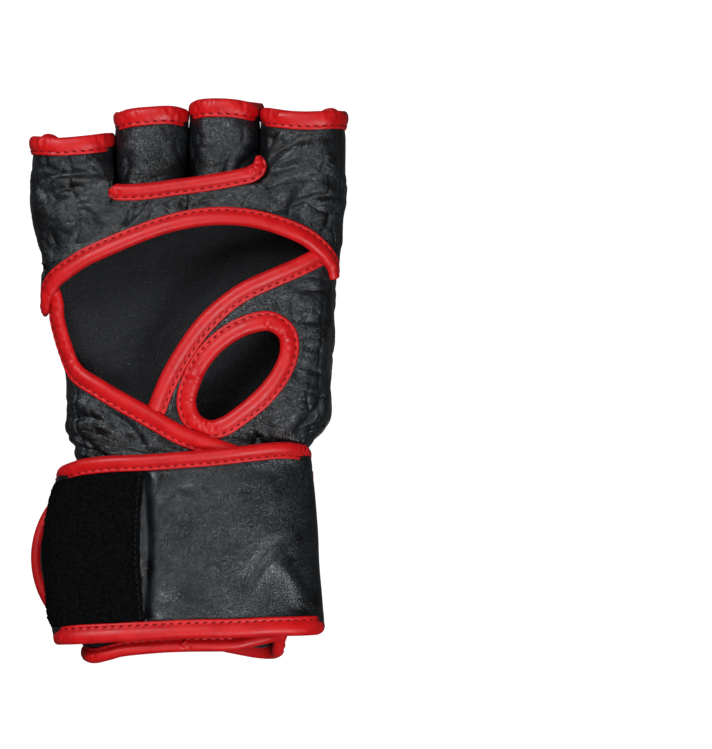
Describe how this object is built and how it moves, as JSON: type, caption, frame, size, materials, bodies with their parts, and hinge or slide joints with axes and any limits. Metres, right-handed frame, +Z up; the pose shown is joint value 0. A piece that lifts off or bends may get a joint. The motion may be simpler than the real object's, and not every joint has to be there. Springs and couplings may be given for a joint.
{
  "type": "mma glove",
  "caption": "Padded open-palm grappling glove for the right hand, with finger loops, a thumb hole and a wrist strap that closes with hook and loop.",
  "frame": {"origin": "middle of the glove's underside as it lies on its padded back, at the bottom of the bounding box", "axes": "+X to the thumb side, +Y to the fingertips, +Z up out of the palm"},
  "size_m": [0.1292, 0.226, 0.0419],
  "materials": {
    "leather": "semi-gloss black grained leather, creased and bunched at the wrist",
    "binding": "smooth satin red leather binding, stitched along one edge",
    "lining": "matt black twill",
    "foam": "dark grey closed-cell foam, hidden inside",
    "loop": "matt black brushed loop pile",
    "hook": "matt black hook tape"
  },
  "bodies": {
    "glove": {"back_shell": "leather", "backhand_foam": "foam", "knuckle_foam": "foam", "hand_lining": "lining", "palm_band": "leather", "palm_arc_binding": "binding", "finger_slot_binding": "binding", "heel_panel": "leather", "heel_panel_binding": "binding", "thumb_panel": "leather", "thumb_panel_binding": "binding", "thumb_hole_binding": "binding", "cuff_shell": "leather", "cuff_padding": "foam", "cuff_lining": "lining", "cuff_binding": "binding", "strap_shell": "leather", "strap_lining": "lining", "loop_patch": "loop", "strap_top_binding": "binding", "strap_bottom_binding": "binding"},
    "pinky_finger": {"pinky_sleeve": "leather", "pinky_pad": "foam", "pinky_lining": "lining", "pinky_binding": "binding"},
    "ring_finger": {"ring_sleeve": "leather", "ring_pad": "foam", "ring_lining": "lining", "ring_binding": "binding"},
    "middle_finger": {"middle_sleeve": "leather", "middle_pad": "foam", "middle_lining": "lining", "middle_binding": "binding"},
    "index_finger": {"index_sleeve": "leather", "index_pad": "foam", "index_lining": "lining", "index_binding": "binding"},
    "flap": {"flap_shell": "leather", "flap_lining": "lining", "hook_patch": "hook", "flap_binding": "binding"}
  },
  "joints": [
    {"name": "pinky_flex", "type": "hinge", "parent": "glove", "child": "pinky_finger", "pos_m": [-0.0465, 0.08, 0.0396], "axis": [1, 0, 0], "range_deg": [0, 20]},
    {"name": "ring_flex", "type": "hinge", "parent": "glove", "child": "ring_finger", "pos_m": [-0.01445, 0.08, 0.0396], "axis": [1, 0, 0], "range_deg": [0, 20]},
    {"name": "middle_flex", "type": "hinge", "parent": "glove", "child": "middle_finger", "pos_m": [0.01485, 0.08, 0.0396], "axis": [1, 0, 0], "range_deg": [0, 20]},
    {"name": "index_flex", "type": "hinge", "parent": "glove", "child": "index_finger", "pos_m": [0.0469, 0.08, 0.0396], "axis": [1, 0, 0], "range_deg": [0, 20]},
    {"name": "flap_open", "type": "hinge", "parent": "glove", "child": "flap", "pos_m": [0.0526, -0.0715, 0.0021], "axis": [0, -1, 0], "range_deg": [0, 180]}
  ]
}
